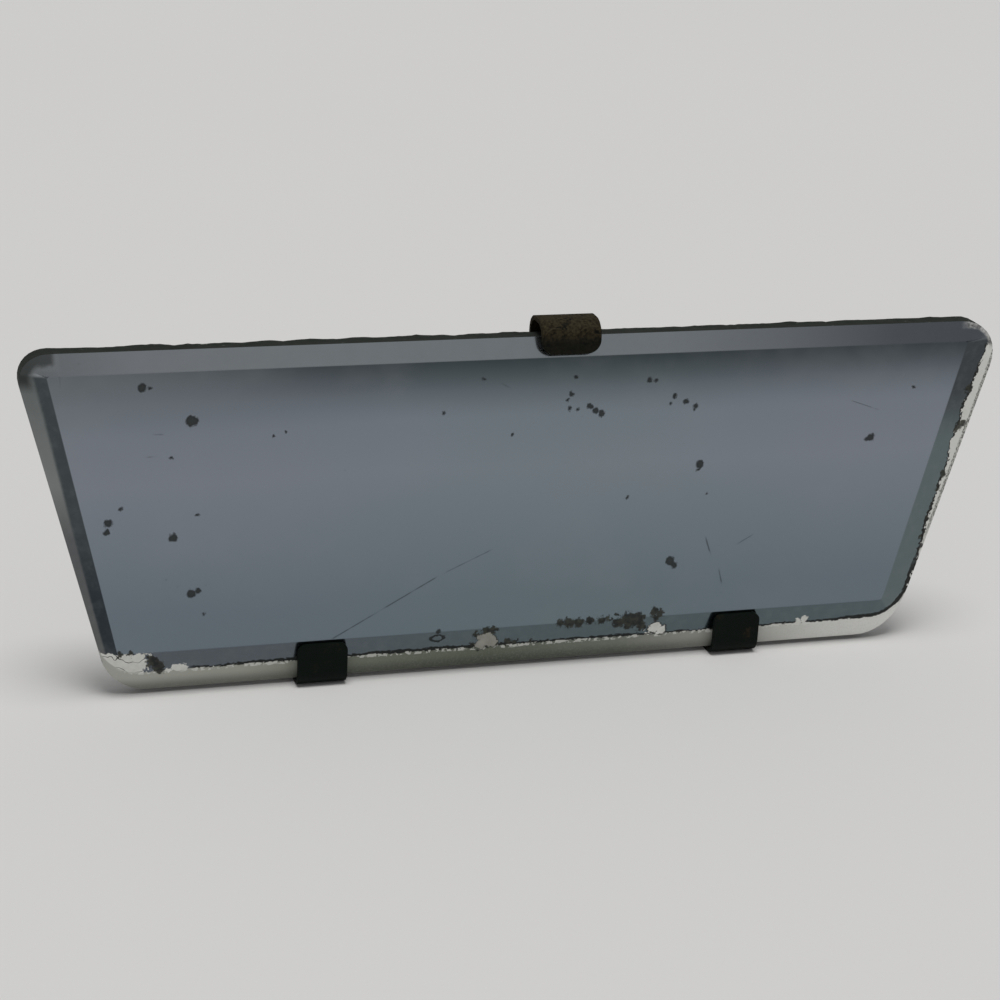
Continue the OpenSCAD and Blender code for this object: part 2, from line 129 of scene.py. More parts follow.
class Finish:
    def __init__(self, name, **constants):
        self.material = bpy.data.materials.new(name)
        self.material.use_nodes = True
        self.tree = self.material.node_tree
        self.shader = self.tree.nodes["Principled BSDF"]
        for key, value in constants.items():
            self.shader.inputs[key.replace("_", " ")].default_value = value
        self.place = self.node("ShaderNodeTexCoord", {}, {}, "Object")
        self.axes = self.node("ShaderNodeSeparateXYZ", {}, {0: self.place}, None)

    def node(self, kind, settings, values, output=0):
        made = self.tree.nodes.new(kind)
        for key, value in settings.items():
            if key == "stops":
                ramp = made.color_ramp
                while len(ramp.elements) < len(value):
                    ramp.elements.new(0.5)
                for element, (spot, colour) in zip(ramp.elements, value):
                    element.position = spot
                    element.color = (*colour, 1)
            else:
                setattr(made, key, value)
        for key, value in values.items():
            if isinstance(value, Wire):
                self.tree.links.new(value.socket, made.inputs[key])
            else:
                made.inputs[key].default_value = value
        if output is None:
            return made
        return Wire(self, made.outputs[output])

    def along(self, axis):
        # the place along one axis, in millimetres
        return Wire(self, self.axes.outputs[axis]) * (1 / mm)

    def noise(self, scale, detail=3, rough=0.5, stretch=None, output="Fac"):
        # scale is in patches per metre
        place = self.place
        if stretch:
            place = self.node("ShaderNodeMapping", {}, {"Vector": place, "Scale": stretch})
        return self.node("ShaderNodeTexNoise", {},
                         {"Vector": place, "Scale": scale, "Detail": detail, "Roughness": rough}, output)

    def grains(self, scale, output="Distance"):
        return self.node("ShaderNodeTexVoronoi", {}, {"Vector": self.place, "Scale": scale}, output)

    def blend(self, mask, under, over, kind="MIX"):
        def paint(value):
            return value if isinstance(value, Wire) else (*value, 1)
        return self.node("ShaderNodeMix", {"data_type": "RGBA", "clamp_factor": True, "blend_type": kind},
                         {0: mask, 6: paint(under), 7: paint(over)}, 2)

    def feed(self, socket, wire):
        self.tree.links.new(wire.socket, self.shader.inputs[socket])

    def bump(self, height, strength, depth):
        # depth in millimetres
        bent = self.node("ShaderNodeBump", {},
                         {"Height": height, "Strength": strength, "Distance": depth * mm}, "Normal")
        self.feed("Normal", bent)


# the plate glass: flat face, ground bevel and rough rim

glassBox = [Vector(corner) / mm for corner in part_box("mirror_glass")]
glassCut = {
    "slip": -2.2,                            # the glass has crept to the left in its clips
    "rimTop": 202, "rimLow": 166.5,          # widths of the rim, corners taken sharp
    "rimThick": 3.8,
    "clearHeight": 4.3, "clearThick": 3.2,   # the clear strip below the silvering, reaching down over the gap under the glass and carrying its painted shadow
    "faceTop": 186.5, "faceLow": 161.5, "faceHeight": 57,
    "faceX": -1.4, "faceZ": 2.5,             # the flat face is ground a little off centre
    # corner radii: upper left, upper right, lower right, lower left
    "rimRadii": (5.5, 8, 10, 9), "silverRadii": (5.5, 8, 8, 5.5), "faceRadii": (0.6, 0.6, 3, 1.2),
    "arcSteps": 9,
    # how the top rim is nibbled: cuts along it, distances from its front edge and to its ends, and depths
    "chipSteps": 70, "chipFrom": 0.8, "chipReach": 92,
    "chipDrop": 0.15, "chipDepth": 0.26, "chipGrain": 0.09,
    "chipCuts": 2, "topSkin": 0.05, "nibbleZone": 1.2,
    "smoothBelow": 11, "mergeBelow": 0.3,    # degrees
    "rimLean": 0.3,                          # a face that leans no further to the front or back is on the rim
}
near = 1e-6                                  # closer than this is the same place
rimHeight = glassBox[1].z - glassBox[0].z
rimSlope = (glassCut["rimTop"] - glassCut["rimLow"]) / 2 / rimHeight
rimCentreX = glassCut["slip"]
rimCentreZ = (glassBox[0].z + glassBox[1].z) / 2
faceCentreX = rimCentreX + glassCut["faceX"]
faceCentreZ = rimCentreZ + glassCut["faceZ"]
silverLowZ = glassBox[0].z + glassCut["clearHeight"]
frontY = glassBox[0].y
backY = glassBox[1].y
rimY = backY - glassCut["rimThick"]


def addOutline(obj, centre, y, top, low, height, radii):
    # an upright trapezoid with rounded corners, facing -Y
    pivot = (centre[0] * mm, y * mm, centre[1] * mm)
    bpy.ops.mesh.primitive_plane_add(size=1, location=pivot, rotation=(math.pi / 2, 0, 0))
    bpy.ops.transform.resize(value=(top * mm, 1, height * mm), center_override=pivot)
    pick(obj, "VERT", lambda p: abs(p.y - pivot[1]) < near and p.z < pivot[2])
    bpy.ops.transform.resize(value=(low / top, 1, 1), center_override=pivot)
    lean = math.atan((top - low) / 2 / height)
    for (side, up), radius in zip(((-1, 1), (1, 1), (1, -1), (-1, -1)), radii):
        reach = (top if up > 0 else low) / 2
        corner = Vector((centre[0] + side * reach, y, centre[1] + up * height / 2)) * mm
        pick(obj, "VERT", lambda p: (p - corner).length < 10 * near)
        half = (math.pi / 2 - up * lean) / 2
        bpy.ops.mesh.bevel(offset_type="OFFSET", affect="VERTICES", segments=glassCut["arcSteps"],
                           offset=radius * mm / math.tan(half), profile=0.5)


def chipTop(obj):
    # cuts the top of the rim into short lengths and nibbles it everywhere but along its front edge
    top = (glassBox[1].z - glassCut["topSkin"]) * mm
    pick(obj, "EDGE", lambda a, b: min(a.z, b.z) > top and abs(a.y - b.y) < near)
    bpy.ops.mesh.subdivide(number_cuts=glassCut["chipSteps"])
    pick(obj, "EDGE", lambda a, b: min(a.z, b.z) > top and abs(a.x - b.x) < near)
    bpy.ops.mesh.subdivide(number_cuts=glassCut["chipCuts"])
    behind = (rimY + glassCut["chipFrom"]) * mm
    reach = glassCut["chipReach"] * mm
    pick(obj, "VERT", lambda p: p.z > top and p.y > behind and abs(p.x - rimCentreX * mm) < reach)
    bpy.ops.transform.translate(value=(0, 0, -glassCut["chipDrop"] * mm))
    bpy.ops.transform.vertex_random(offset=glassCut["chipDepth"] * mm, seed=4)
    bpy.ops.mesh.subdivide(number_cuts=glassCut["chipCuts"])
    bpy.ops.transform.vertex_random(offset=glassCut["chipGrain"] * mm, seed=9)


def buildGlass():
    dropSelection()
    bpy.ops.mesh.primitive_plane_add()
    glass = bpy.context.object
    glass.name = glass.data.name = "bevelledGlass"
    bpy.ops.object.mode_set(mode="EDIT")
    bpy.ops.mesh.select_all(action="SELECT")
    bpy.ops.mesh.delete(type="VERT")         # an empty mesh at the origin, for the outlines
    # outlines of the back, the clear strip, the silvering and the flat face; the glass is their hull
    clear = glassCut["clearHeight"]
    for y in (backY, backY - glassCut["clearThick"]):
        addOutline(glass, (rimCentreX, rimCentreZ), y, glassCut["rimTop"], glassCut["rimLow"], rimHeight,
                   glassCut["rimRadii"])
    addOutline(glass, (rimCentreX, rimCentreZ + clear / 2), rimY, glassCut["rimTop"],
               glassCut["rimLow"] + 2 * clear * rimSlope, rimHeight - clear, glassCut["silverRadii"])
    addOutline(glass, (faceCentreX, faceCentreZ), frontY, glassCut["faceTop"], glassCut["faceLow"],
               glassCut["faceHeight"], glassCut["faceRadii"])
    bpy.ops.mesh.select_all(action="SELECT")
    bpy.ops.mesh.convex_hull(use_existing_faces=False)
    bpy.ops.mesh.select_all(action="SELECT")
    bpy.ops.mesh.dissolve_limited(angle_limit=math.radians(glassCut["mergeBelow"]))
    bpy.ops.mesh.select_all(action="SELECT")
    bpy.ops.mesh.normals_make_consistent(inside=False)
    chipTop(glass)
    bpy.ops.object.mode_set(mode="OBJECT")
    bpy.ops.object.shade_smooth_by_angle(angle=math.radians(glassCut["smoothBelow"]))
    return glass


glass = buildGlass()
print("glass:", len(glass.data.polygons), "faces")


# where things lie on the glass, in millimetres (x, z)
def edgeWires(finish):
    x, z = finish.along("X"), finish.along("Z")
    faceSlope = (glassCut["faceTop"] - glassCut["faceLow"]) / 2 / glassCut["faceHeight"]
    faceHalf = (z - faceCentreZ) * faceSlope + (glassCut["faceTop"] + glassCut["faceLow"]) / 4
    rimHalf = (z - rimCentreZ) * rimSlope + (glassCut["rimTop"] + glassCut["rimLow"]) / 4
    faceLow = faceCentreZ - glassCut["faceHeight"] / 2
    faceTop = faceCentreZ + glassCut["faceHeight"] / 2
    spanRight = rimHalf - faceHalf - glassCut["faceX"]
    spanLeft = rimHalf - faceHalf + glassCut["faceX"]
    inside = (rimHalf - (x - rimCentreX).size()) * math.cos(math.atan(rimSlope))
    # each side goes from 0 at the flat face to 1 at the rim, "low" to 1 where the silver ends;
    # "inside" is the distance from the rim's ends
    return {
        "x": x, "z": z, "inside": inside,
        "top": (z - faceTop) / (glassBox[1].z - faceTop),
        "low": (faceLow - z) / (faceLow - silverLowZ),
        "right": (x - faceCentreX - faceHalf) / spanRight,
        "left": (faceCentreX - faceHalf - x) / spanLeft,
    }


def cornerReach(across, along, radius):
    # distance beyond a rounded corner, from the distances to its two sides
    u, v = (radius - across).atLeast(0), (radius - along).atLeast(0)
    return (u * u + v * v).maths("SQRT") - radius


silverMarks = {
    # x, z and radius of the places where the silver has gone dark
    "spots": [
        (-79.4, 63.95, 0.8), (-77.9, 63.85, 0.35), (-70.1, 57.05, 1.15), (-74, 49.85, 0.35),
        (-83.6, 40.15, 0.35), (-85.9, 37.25, 0.8), (-86.3, 35.45, 0.65), (-68.9, 38.05, 0.3),
        (-73.6, 33.65, 0.85), (-70.2, 21.75, 0.75), (-68.9, 22.25, 0.6), (-20.3, 9.9, 0.55),
        (-54.4, 53.35, 0.3), (-52.1, 54.05, 0.3), (-67.6, 17.35, 0.25), (-13.5, 62.95, 0.3),
        (-21.2, 56.45, 0.4), (-7.2, 51.15, 0.3), (5.3, 62.65, 0.4), (4.5, 59.15, 0.55),
        (3.9, 57.95, 0.3), (4.3, 56.05, 0.4), (6.1, 55.95, 0.35), (8.6, 56.45, 0.55), (9.8, 55.45, 0.6),
        (11.2, 54.85, 0.75), (20.7, 61.35, 0.55), (22, 61.35, 0.4), (26.3, 57.75, 0.5),
        (25.6, 56.35, 0.35), (28.8, 56.45, 0.55), (31, 55.65, 0.55), (30.6, 54.95, 0.3),
        (32.9, 42.95, 0.85), (32.6, 41.75, 0.4), (70.2, 46.95, 0.8), (69.4, 46.65, 0.5),
        (78.6, 57.45, 0.3), (17.8, 36.75, 0.3), (28.2, 22.05, 0.95), (29.1, 21.15, 0.7),
        (35, 36.35, 0.25)],
    # rusty patches along the lower bevel and the right-hand end
    "patches": [
        (5.4, 9.8, 0.8), (7.4, 9.9, 1.2), (9.4, 9.6, 1.1), (11.8, 9.9, 0.8), (14.2, 9.8, 0.85),
        (16, 9.9, 0.5), (18.2, 9, 1.2), (20.1, 9.6, 1.4), (22.2, 9.4, 1.5), (20.4, 7.9, 0.9),
        (23.2, 7.6, 0.9), (25.7, 10.7, 0.9), (26.9, 10.3, 0.8), (26.1, 9.2, 0.6), (17.6, 10.8, 0.3),
        (-8.6, 9.5, 0.75), (-10.4, 9.4, 0.8), (-12.3, 8.6, 0.5), (-5.2, 6, 0.75), (-3.6, 6, 0.4),
        (-12.9, 6.2, 0.4), (-0.6, 5.9, 0.35), (-77.4, 7.6, 1.1), (-76.4, 6.4, 1), (-75.9, 5.3, 0.7),
        (-78.4, 8.6, 0.5), (-83.8, 9.9, 0.45), (-81.9, 9.8, 0.4), (90.4, 47.9, 0.9), (91.6, 48.6, 0.7),
        (91.6, 56.2, 0.7), (88.4, 37.6, 0.7), (87.6, 34.2, 0.5), (86, 27.6, 0.5), (85, 23.4, 0.4)],
    "ring": (-20.4, 8.3, 1.35, 1.9),            # x, z, radius and how many times wider than high
    # places where the silver and its paint have flaked off altogether
    "flakes": [
        (26.4, 7, 1.3), (27.9, 6.2, 1.1), (25.2, 6.4, 0.8), (-72.6, 5.7, 1), (-71.4, 5.7, 0.8),
        (-74.2, 5.3, 0.6), (60.2, 6.2, 0.8), (58.8, 5.9, 0.6), (91.6, 50.9, 0.9), (92.4, 51.6, 0.7)],
    "beigeFlakes": [
        (-9.8, 7.1, 1.7), (-10.9, 6, 1.2), (-8.6, 6.1, 1.2), (-11.3, 7.6, 0.7)],
    "cornerFlake": (-78.6, 9.7),             # its right-hand end and its top
    # x, z of both ends and half the width of the scratches
    "scratches": [
        (-42.5, 9.75, -20.5, 22.25, 0.13), (-20.5, 22.25, -9.4, 27.35, 0.09),
        (35.4, 27.35, 37.5, 21.65, 0.16), (38.9, 20.45, 40.2, 15.85, 0.14),
        (42.3, 24.65, 46.5, 27.05, 0.08), (64.5, 55.25, 71.5, 52.75, 0.07),
        (-10.2, 62.15, -7.7, 60.75, 0.12), (-79.2, 50.25, -76.5, 50.35, 0.14),
        (-78, 54.75, -75, 54.65, 0.13)],
}


# the field, facet and clear strip tones are painted reflection and painted shade; spots, rust, flakes,
# scratches, smudges and dust are wear
silverTones = {
    "field": [(0.0, (0.183, 0.226, 0.262)), (0.14, (0.188, 0.229, 0.268)), (0.42, (0.228, 0.266, 0.312)),
              (0.60, (0.258, 0.288, 0.338)), (0.78, (0.240, 0.270, 0.318)), (0.88, (0.196, 0.225, 0.262)),
              (0.95, (0.135, 0.158, 0.182)), (1.0, (0.080, 0.098, 0.112))],
    "greener": (0.92, 1.02, 0.96), "leftLift": (0.205, 0.228, 0.252), "underTopShade": (0.020, 0.028, 0.030),
    "smudge": (0.30, 0.32, 0.34),
    # facet tones: painted reflection, one for each way a facet faces
    "topFacet": [(0.0, (0.35, 0.37, 0.39)), (0.10, (0.47, 0.50, 0.53)), (0.30, (0.46, 0.51, 0.53)),
                 (0.62, (0.45, 0.49, 0.52)), (0.745, (0.35, 0.38, 0.41)), (0.865, (0.205, 0.225, 0.250)),
                 (1.0, (0.175, 0.190, 0.210))],
    "lowFacet": ((0.120, 0.138, 0.160), (0.112, 0.145, 0.160)),
    "leftInner": ((0.036, 0.046, 0.054), (0.066, 0.080, 0.086)),
    "leftOuter": [(0.0, (0.13, 0.135, 0.135)), (0.48, (0.125, 0.13, 0.135)), (0.64, (0.23, 0.24, 0.24)),
                  (0.9, (0.16, 0.175, 0.175))],
    "rightFacet": ((0.065, 0.074, 0.082), (0.140, 0.176, 0.184)),
    # painted shadow of the gap under the glass, laid on the clear strip
    "clearStripShadow": [(0.0, (0.50, 0.50, 0.46)), (0.17, (0.42, 0.43, 0.37)), (0.30, (0.20, 0.22, 0.17)),
                   (0.45, (0.13, 0.15, 0.11)), (0.60, (0.20, 0.22, 0.18)), (0.72, (0.42, 0.42, 0.38)),
                   (0.86, (0.80, 0.80, 0.76)), (1.0, (0.95, 0.95, 0.92))],
    "stripShade": (0.045, 0.048, 0.040), "stripSpeck": (0.40, 0.40, 0.36), "bare": (0.80, 0.80, 0.76),
    "lowLine": (0.008, 0.011, 0.010), "rightLine": (0.012, 0.014, 0.012), "stain": (0.02, 0.024, 0.022),
    "outerLine": ((0.16, 0.16, 0.15), (0.62, 0.62, 0.58)),
    "frost": ((0.10, 0.10, 0.095), (0.52, 0.52, 0.50)),
    "spot": (0.010, 0.013, 0.012), "core": (0.040, 0.046, 0.046), "scratch": (0.03, 0.035, 0.04),
    "rust": ((0.004, 0.006, 0.005), (0.050, 0.052, 0.036)), "flakeRim": (0.016, 0.018, 0.014),
    "flaked": ((0.62, 0.62, 0.57), (0.92, 0.92, 0.88)), "crack": (0.03, 0.03, 0.025),
    "beige": ((0.22, 0.22, 0.19), (0.46, 0.45, 0.40)), "dust": (0.05, 0.06, 0.06),
}
# from where to where, in millimetres of length (x) or height (z), each tone or kind of wear comes in
silverReach = {
    "upperLeftReflectionZ": (52, 67), "leftLiftX": (-32, -92), "underTopShadeZ": (55, 67.5), "underTopShadeX": (-85, -10),
    "greenerX": (62, 6), "endsZ": (67.2, 66.4), "lowToneX": (-70, 10), "halfX": (-1, 1), "halfZ": (36, 38),
    "leftSplitZ": (66, 10), "leftInnerZ": (20, 40), "rightToneZ": (58, 44),
    "stainX": (-94, -96), "stainCornerX": (-94, -95), "stainZ": (63, 66),
    "lowZ": (12, 8), "cornerZ": (24, 14), "cornerX": (0, 1), "lineX": (-71, -69),
    "thickLeftX": (-66, -60), "thickMiddleX": (6, -20), "thickRightX": (60, 82),
    "stripShadeZ": (4.2, 1.3), "stripShadeX": (62, 25), "nibbledX": (-86, -80),
    "bareStartZ": (14, 32), "bareWideZ": (37, 46), "rightX": (10, 20), "rightTopZ": (66.2, 65.2),
    "rightLowZ": (7, 12), "rightLineZ": (40, 22), "outerLineZ": (18, 30),
    "frostX": (88, 91), "frostZ": (64, 66),
}
cornerRound = {"stain": 5.5, "low": 6.5, "frost": 8}     # radii of the worn corners
lowPitch = 0.69                              # the lower bevel is ground flatter than the others


def spotMask(finish, ground, spots, soft, ragged):
    # 1 inside any of the round spots; ground is the place, and ragged a noise that frays their edges
    mask = None
    for x, z, radius in spots:
        away = finish.node("ShaderNodeVectorMath", {"operation": "DISTANCE"},
                           {0: ground, 1: (x, 0, z)}, "Value")
        inside = away * (-1 / soft) + (radius / soft + 0.5)
        mask = inside if mask is None else mask.atLeast(inside)
    return (mask + ragged / soft).atLeast(0).atMost(1)


def scratchMask(finish, ground, lines):
    mask = None
    for x0, z0, x1, z1, half in lines:
        run = Vector((x1 - x0, 0, z1 - z0))
        way = run.normalized()
        across = Vector((-way.z, 0, way.x))
        start = Vector((x0, 0, z0))
        far = finish.node("ShaderNodeVectorMath", {"operation": "DOT_PRODUCT"}, {0: ground, 1: way}, "Value")
        off = finish.node("ShaderNodeVectorMath", {"operation": "DOT_PRODUCT"}, {0: ground, 1: across}, "Value")
        far = far - way.dot(start) - run.length / 2
        off = (off - across.dot(start)).size()
        line = off.rise(half * 1.6, half * 0.4) * far.size().rise(run.length / 2, run.length / 2 - 1.2)
        mask = line if mask is None else mask.atLeast(line)
    return mask


def silverGrain(finish, x, z):
    # noises for ragged edges, and the place on the front in millimetres: plain, shaken and shattered
    grain = {
        "ragged": finish.noise(420, 5, 0.65) - 0.5,
        "fine": finish.noise(2600, 3, 0.6) - 0.5,
        "fray": finish.noise(1500, 4, 0.7) - 0.5,
        "shards": finish.node("ShaderNodeSeparateColor", {}, {0: finish.grains(1500, "Color")}, "Red") - 0.5,
    }
    ground = finish.node("ShaderNodeCombineXYZ", {}, {"X": x, "Y": 0.0, "Z": z})
    grain["flat"] = ground
    for name, shake, reach in (("shaken", finish.noise(900, 4, 0.6, output="Color"), 1.2),
                               ("shattered", finish.grains(1500, "Color"), 0.5)):
        ground = finish.node("ShaderNodeVectorMath", {"operation": "MULTIPLY_ADD"},
                             {0: shake, 1: (reach, 0, reach), 2: ground}, "Vector")
        ground = finish.node("ShaderNodeVectorMath", {"operation": "SUBTRACT"},
                             {0: ground, 1: (reach / 2, 0, reach / 2)}, "Vector")
        grain[name] = ground
    return grain


def fieldTone(finish, x, z):
    # the flat face: a soft grey blue whose tone is painted reflection, darker towards the top and bottom, with
    # painted shade darkest under the top bevel, a lighter painted reflection towards the upper left, and
    # greener in the middle
    drift = finish.noise(14, 2, 0.5, stretch=(1, 1, 1.6)) - 0.5
    # painted reflection: darker towards the top and bottom of the face
    tone = finish.node("ShaderNodeValToRGB", {"stops": silverTones["field"]},
                       {0: (z - faceCentreZ) / glassCut["faceHeight"] + 0.5 + drift * 0.1})
    middle = (x - 4).size().rise(*silverReach["greenerX"])
    field = finish.blend(middle * 0.5, tone, finish.blend(1.0, tone, silverTones["greener"], "MULTIPLY"))
    # painted reflection: lighter towards the upper left
    upperLeftReflection = z.rise(*silverReach["upperLeftReflectionZ"]) * x.rise(*silverReach["leftLiftX"]) * 0.6
    field = finish.blend(upperLeftReflection, field, silverTones["leftLift"])
    # painted shade under the top bevel
    underTopShade = z.rise(*silverReach["underTopShadeZ"]) * x.rise(*silverReach["underTopShadeX"]) * 0.46
    field = finish.blend(underTopShade, field, silverTones["underTopShade"])
    smudge = finish.noise(45, 4, 0.6).rise(0.45, 0.75) * 0.14
    return finish.blend(smudge, field, silverTones["smudge"])


def withFacets(finish, field, edge, grain):
    # the four ground facets round the flat face; their tones are painted reflection, each facet lighter or
    # darker as it faces the light and along its length, and the left facet's lighter outer band is its clear
    # edge, toned with painted reflection too
    x, z = edge["x"], edge["z"]
    sides = edge["left"].atLeast(edge["right"])
    levels = edge["top"].atLeast(edge["low"] * lowPitch)
    ends = (sides - levels).rise(-0.03, 0.03) * z.rise(*silverReach["endsZ"])
    topTone = finish.node("ShaderNodeValToRGB", {"stops": silverTones["topFacet"]}, {0: (x + 100) / 200})
    lowTone = finish.blend(x.rise(*silverReach["lowToneX"]), *silverTones["lowFacet"])
    leftSplit = edge["left"] - z.rise(*silverReach["leftSplitZ"]) * 0.2 - 0.45 + grain["fine"] * 0.06
    leftOuter = finish.node("ShaderNodeValToRGB", {"stops": silverTones["leftOuter"]}, {0: z / glassBox[1].z})
    leftInner = finish.blend(z.rise(*silverReach["leftInnerZ"]), *silverTones["leftInner"])
    leftTone = finish.blend(leftSplit.rise(-0.08, 0.08), leftInner, leftOuter)
    rightTone = finish.blend(z.rise(*silverReach["rightToneZ"]), *silverTones["rightFacet"])
    endTone = finish.blend(x.rise(*silverReach["halfX"]), leftTone, rightTone)
    runTone = finish.blend(z.rise(*silverReach["halfZ"]), lowTone, topTone)
    facet = finish.blend(ends, runTone, endTone)
    outside = sides.atLeast(levels)
    silver = finish.blend(outside.rise(-0.025, 0.025), field, facet)
    worn = grain["ragged"].rise(-0.1, 0.3) * outside.rise(0, 0.1) * 0.12
    return finish.blend(worn, silver, silverTones["smudge"])


def withLowRim(finish, silver, edge, grain):
    # the silver ends in a black line above the lower rim, with white nibbles and clear glass below it; the
    # clear glass is painted with the shadow of the gap beneath it, darkest in the middle and towards the
    # bottom, lighter towards its ends
    x, z, ragged, shards = edge["x"], edge["z"], grain["ragged"], grain["shards"]
    beyond = cornerReach(edge["inside"], z - silverLowZ, cornerRound["low"])
    reach = z.rise(*silverReach["lowZ"]).atLeast(
        z.rise(*silverReach["cornerZ"]) * x.rise(*silverReach["cornerX"]))
    thicker = (x.rise(*silverReach["thickLeftX"]) * x.rise(*silverReach["thickMiddleX"]) * 0.25
               + x.rise(*silverReach["thickRightX"]) * 0.75)
    lineWidth = thicker + 0.45 + (finish.noise(110, 3) - 0.5) * 0.9
    torn = beyond + ragged * 0.9 + shards * 0.35
    line = (torn + lineWidth.atLeast(0.08)).rise(-0.06, 0.06) * reach * x.rise(*silverReach["lineX"])
    cleared = torn.rise(-0.06, 0.06) * reach
    nibbled = ((torn - 0.4 - finish.noise(200, 3) * 0.7).rise(0.08, -0.08)
               * (ragged + shards * 0.5).rise(-0.03, 0.05))
    # painted shadow of the gap under the glass: darkest in the middle, lighter towards the ends
    strip = finish.node("ShaderNodeValToRGB", {"stops": silverTones["clearStripShadow"]}, {0: (x + 90) / 180})
    # painted shadow, darker towards the bottom of the strip
    shade = z.rise(*silverReach["stripShadeZ"]) * x.rise(*silverReach["stripShadeX"]) * 0.62
    strip = finish.blend(shade, strip, silverTones["stripShade"])
    strip = finish.blend(grain["fine"].rise(-0.1, 0.3) * 0.2, strip, silverTones["stripSpeck"])
    strip = finish.blend(nibbled * x.rise(*silverReach["nibbledX"]) * 0.65, strip, silverTones["bare"])
    silver = finish.blend(line, silver, silverTones["lowLine"])
    return finish.blend(cleared, silver, strip), line.atLeast(cleared), beyond


def withRightEnd(finish, silver, edge, grain):
    # the right-hand end is flaked white outside a ragged dark line
    x, z, ragged, fine = edge["x"], edge["z"], grain["ragged"], grain["fine"]
    bareWidth = z.rise(*silverReach["bareStartZ"]) * 1.5 + z.rise(*silverReach["bareWideZ"]) * 1.15 + 0.05
    free = bareWidth - edge["inside"] + ragged * 2.4 + grain["shards"] * 0.7
    reach = (x.rise(*silverReach["rightX"]) * z.rise(*silverReach["rightTopZ"])
             * z.rise(*silverReach["rightLowZ"]))
    lineWidth = z.rise(*silverReach["rightLineZ"]) * 0.35 + (finish.noise(160, 4, 0.6) - 0.5) * 1.6 + 0.5
    dark = (free + lineWidth).rise(-0.1, 0.1) * reach
    white = free.rise(-0.1, 0.1) * reach
    outerLine = (edge["inside"] - 0.75 + fine * 0.8).rise(0.12, -0.12) * reach
    dotted = finish.blend(fine.rise(-0.06, 0.06), *silverTones["outerLine"])
    silver = finish.blend(dark, silver, silverTones["rightLine"])
    silver = finish.blend(white, silver, silverTones["bare"])
    silver = finish.blend(outerLine * z.rise(*silverReach["outerLineZ"]), silver, dotted)
    return silver, dark.atLeast(white)


def withTopCorners(finish, silver, edge, grain):
    # the upper left corner is stained dark, the upper right one ground white
    x, z, ragged = edge["x"], edge["z"], grain["ragged"]
    fromTop = glassBox[1].z - z
    corner = cornerReach(edge["inside"], fromTop, cornerRound["stain"])
    corner = corner * x.rise(*silverReach["stainCornerX"]) + ragged * 1.4
    stain = corner.rise(-3.2, -1.4) * x.rise(*silverReach["stainX"]) * z.rise(*silverReach["stainZ"])
    silver = finish.blend(stain * 0.9, silver, silverTones["stain"])
    corner = cornerReach(edge["inside"], fromTop, cornerRound["frost"]) + ragged * 0.7
    frosted = corner.rise(-1.7, -1.1) * x.rise(*silverReach["frostX"]) * z.rise(*silverReach["frostZ"])
    frost = finish.blend((ragged + grain["fine"] * 0.3).rise(-0.14, 0.10), *silverTones["frost"])
    return finish.blend(frosted * 0.9, silver, frost), stain.atLeast(frosted)


def ringMask(finish, grain):
    x, z, radius, flatness = silverMarks["ring"]
    squeezed = finish.node("ShaderNodeVectorMath", {"operation": "MULTIPLY"},
                           {0: grain["shaken"], 1: (1, 0, flatness)}, "Vector")
    away = finish.node("ShaderNodeVectorMath", {"operation": "DISTANCE"},
                       {0: squeezed, 1: (x, 0, z * flatness)}, "Value")
    return (away - radius + grain["fray"] * 0.5).size().rise(0.5, 0.25)


def withMarks(finish, silver, edge, grain, beyond):
    # spots, rusty patches, the ring, flakes and scratches
    x, z, ragged, shards, fray = edge["x"], edge["z"], grain["ragged"], grain["shards"], grain["fray"]
    shaken, shattered = grain["shaken"], grain["shattered"]
    bigSpots = [(a, b, r - 0.35) for a, b, r in silverMarks["spots"] if r > 0.5]
    rimmed = [(a, b, r + 0.3) for a, b, r in silverMarks["flakes"][:3] + silverMarks["beigeFlakes"]]
    spots = spotMask(finish, shaken, silverMarks["spots"], 0.35, fray * 0.9)
    cores = spotMask(finish, shaken, bigSpots, 0.4, fray)
    patches = spotMask(finish, shattered, silverMarks["patches"], 0.3, fray * 1.8 + 0.14)
    ring = ringMask(finish, grain)
    flakes = spotMask(finish, shattered, silverMarks["flakes"], 0.2, ragged + shards * 0.5)
    beige = spotMask(finish, shaken, silverMarks["beigeFlakes"], 0.2, ragged + shards * 0.3)
    flakeRim = spotMask(finish, shattered, rimmed, 0.25, ragged * 1.3 + shards * 0.5)
    cornerX, cornerZ = silverMarks["cornerFlake"]
    corner = ((x - cornerX - ragged * 5 - shards).rise(0.1, -0.1)
              * (z - cornerZ - ragged * 1.4 - shards * 0.4).rise(0.1, -0.1) * beyond.rise(0.4, 0))
    scratches = (scratchMask(finish, grain["flat"], silverMarks["scratches"])
                 * finish.noise(260, 3).rise(0.36, 0.56) * 0.6)

    silver = finish.blend(spots.atLeast(ring) * 0.93, silver, silverTones["spot"])
    silver = finish.blend(cores * 0.8, silver, silverTones["core"])
    silver = finish.blend(scratches, silver, silverTones["scratch"])
    silver = finish.blend(flakeRim * 0.85, silver, silverTones["flakeRim"])
    silver = finish.blend(beige, silver, finish.blend(finish.noise(500, 3), *silverTones["beige"]))
    flaked = finish.blend(finish.noise(700, 3), *silverTones["flaked"])
    crack = (finish.noise(260, 2, 0.4) - 0.5).size().rise(0.012, 0.003)
    flaked = finish.blend(crack * corner, flaked, silverTones["crack"])
    silver = finish.blend(flakes.atLeast(corner), silver, flaked)
    rust = finish.blend(finish.noise(900, 4, 0.6).rise(0.3, 0.75), *silverTones["rust"])
    silver = finish.blend(patches * 0.95, silver, rust)
    dull = spots.atLeast(patches).atLeast(ring).atLeast(flakeRim)
    dull = dull.atLeast(flakes).atLeast(beige).atLeast(corner)
    return silver, dull, scratches


